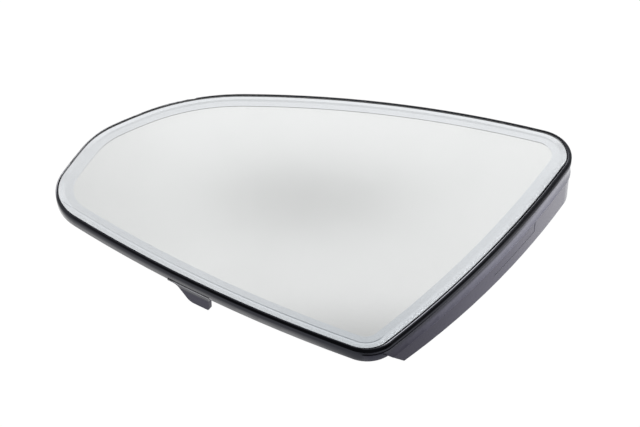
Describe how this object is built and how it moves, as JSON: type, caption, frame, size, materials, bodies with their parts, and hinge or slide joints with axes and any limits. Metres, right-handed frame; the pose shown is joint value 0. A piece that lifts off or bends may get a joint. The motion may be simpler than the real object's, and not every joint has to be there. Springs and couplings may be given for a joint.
{
  "type": "car door mirror glass",
  "caption": "Car door mirror glass: a bevelled dimming mirror in a black moulded carrier with a deep skirt on one side, a guide tab, heater terminals and an actuator socket.",
  "frame": {"origin": "centre of the actuator socket's mouth, on the back of the carrier", "axes": "+Z is the way the mirror looks, square to the glass; +X runs along the upper edge towards the skirted end; +Y points up"},
  "size_m": [0.1861, 0.1271, 0.021],
  "materials": {
    "carrier": "black moulded plastic, gloss on the rim and fine grain on the skirt",
    "front_glass": "clear, ground bevel round the face",
    "seal_ring": "bluish grey bright band",
    "rear_glass": "mirror coat on the front",
    "bus_clip": "tinned spring strip",
    "heater_film": "matt printed film",
    "terminal": "stamped"
  },
  "bodies": {
    "root": {"carrier": "carrier", "front_glass": "front_glass", "seal_ring": "seal_ring", "rear_glass": "rear_glass", "upper_bus_clip": "bus_clip", "lower_bus_clip": "bus_clip", "heater_film": "heater_film", "lower_terminal": "terminal", "upper_terminal": "terminal"}
  },
  "joints": []
}
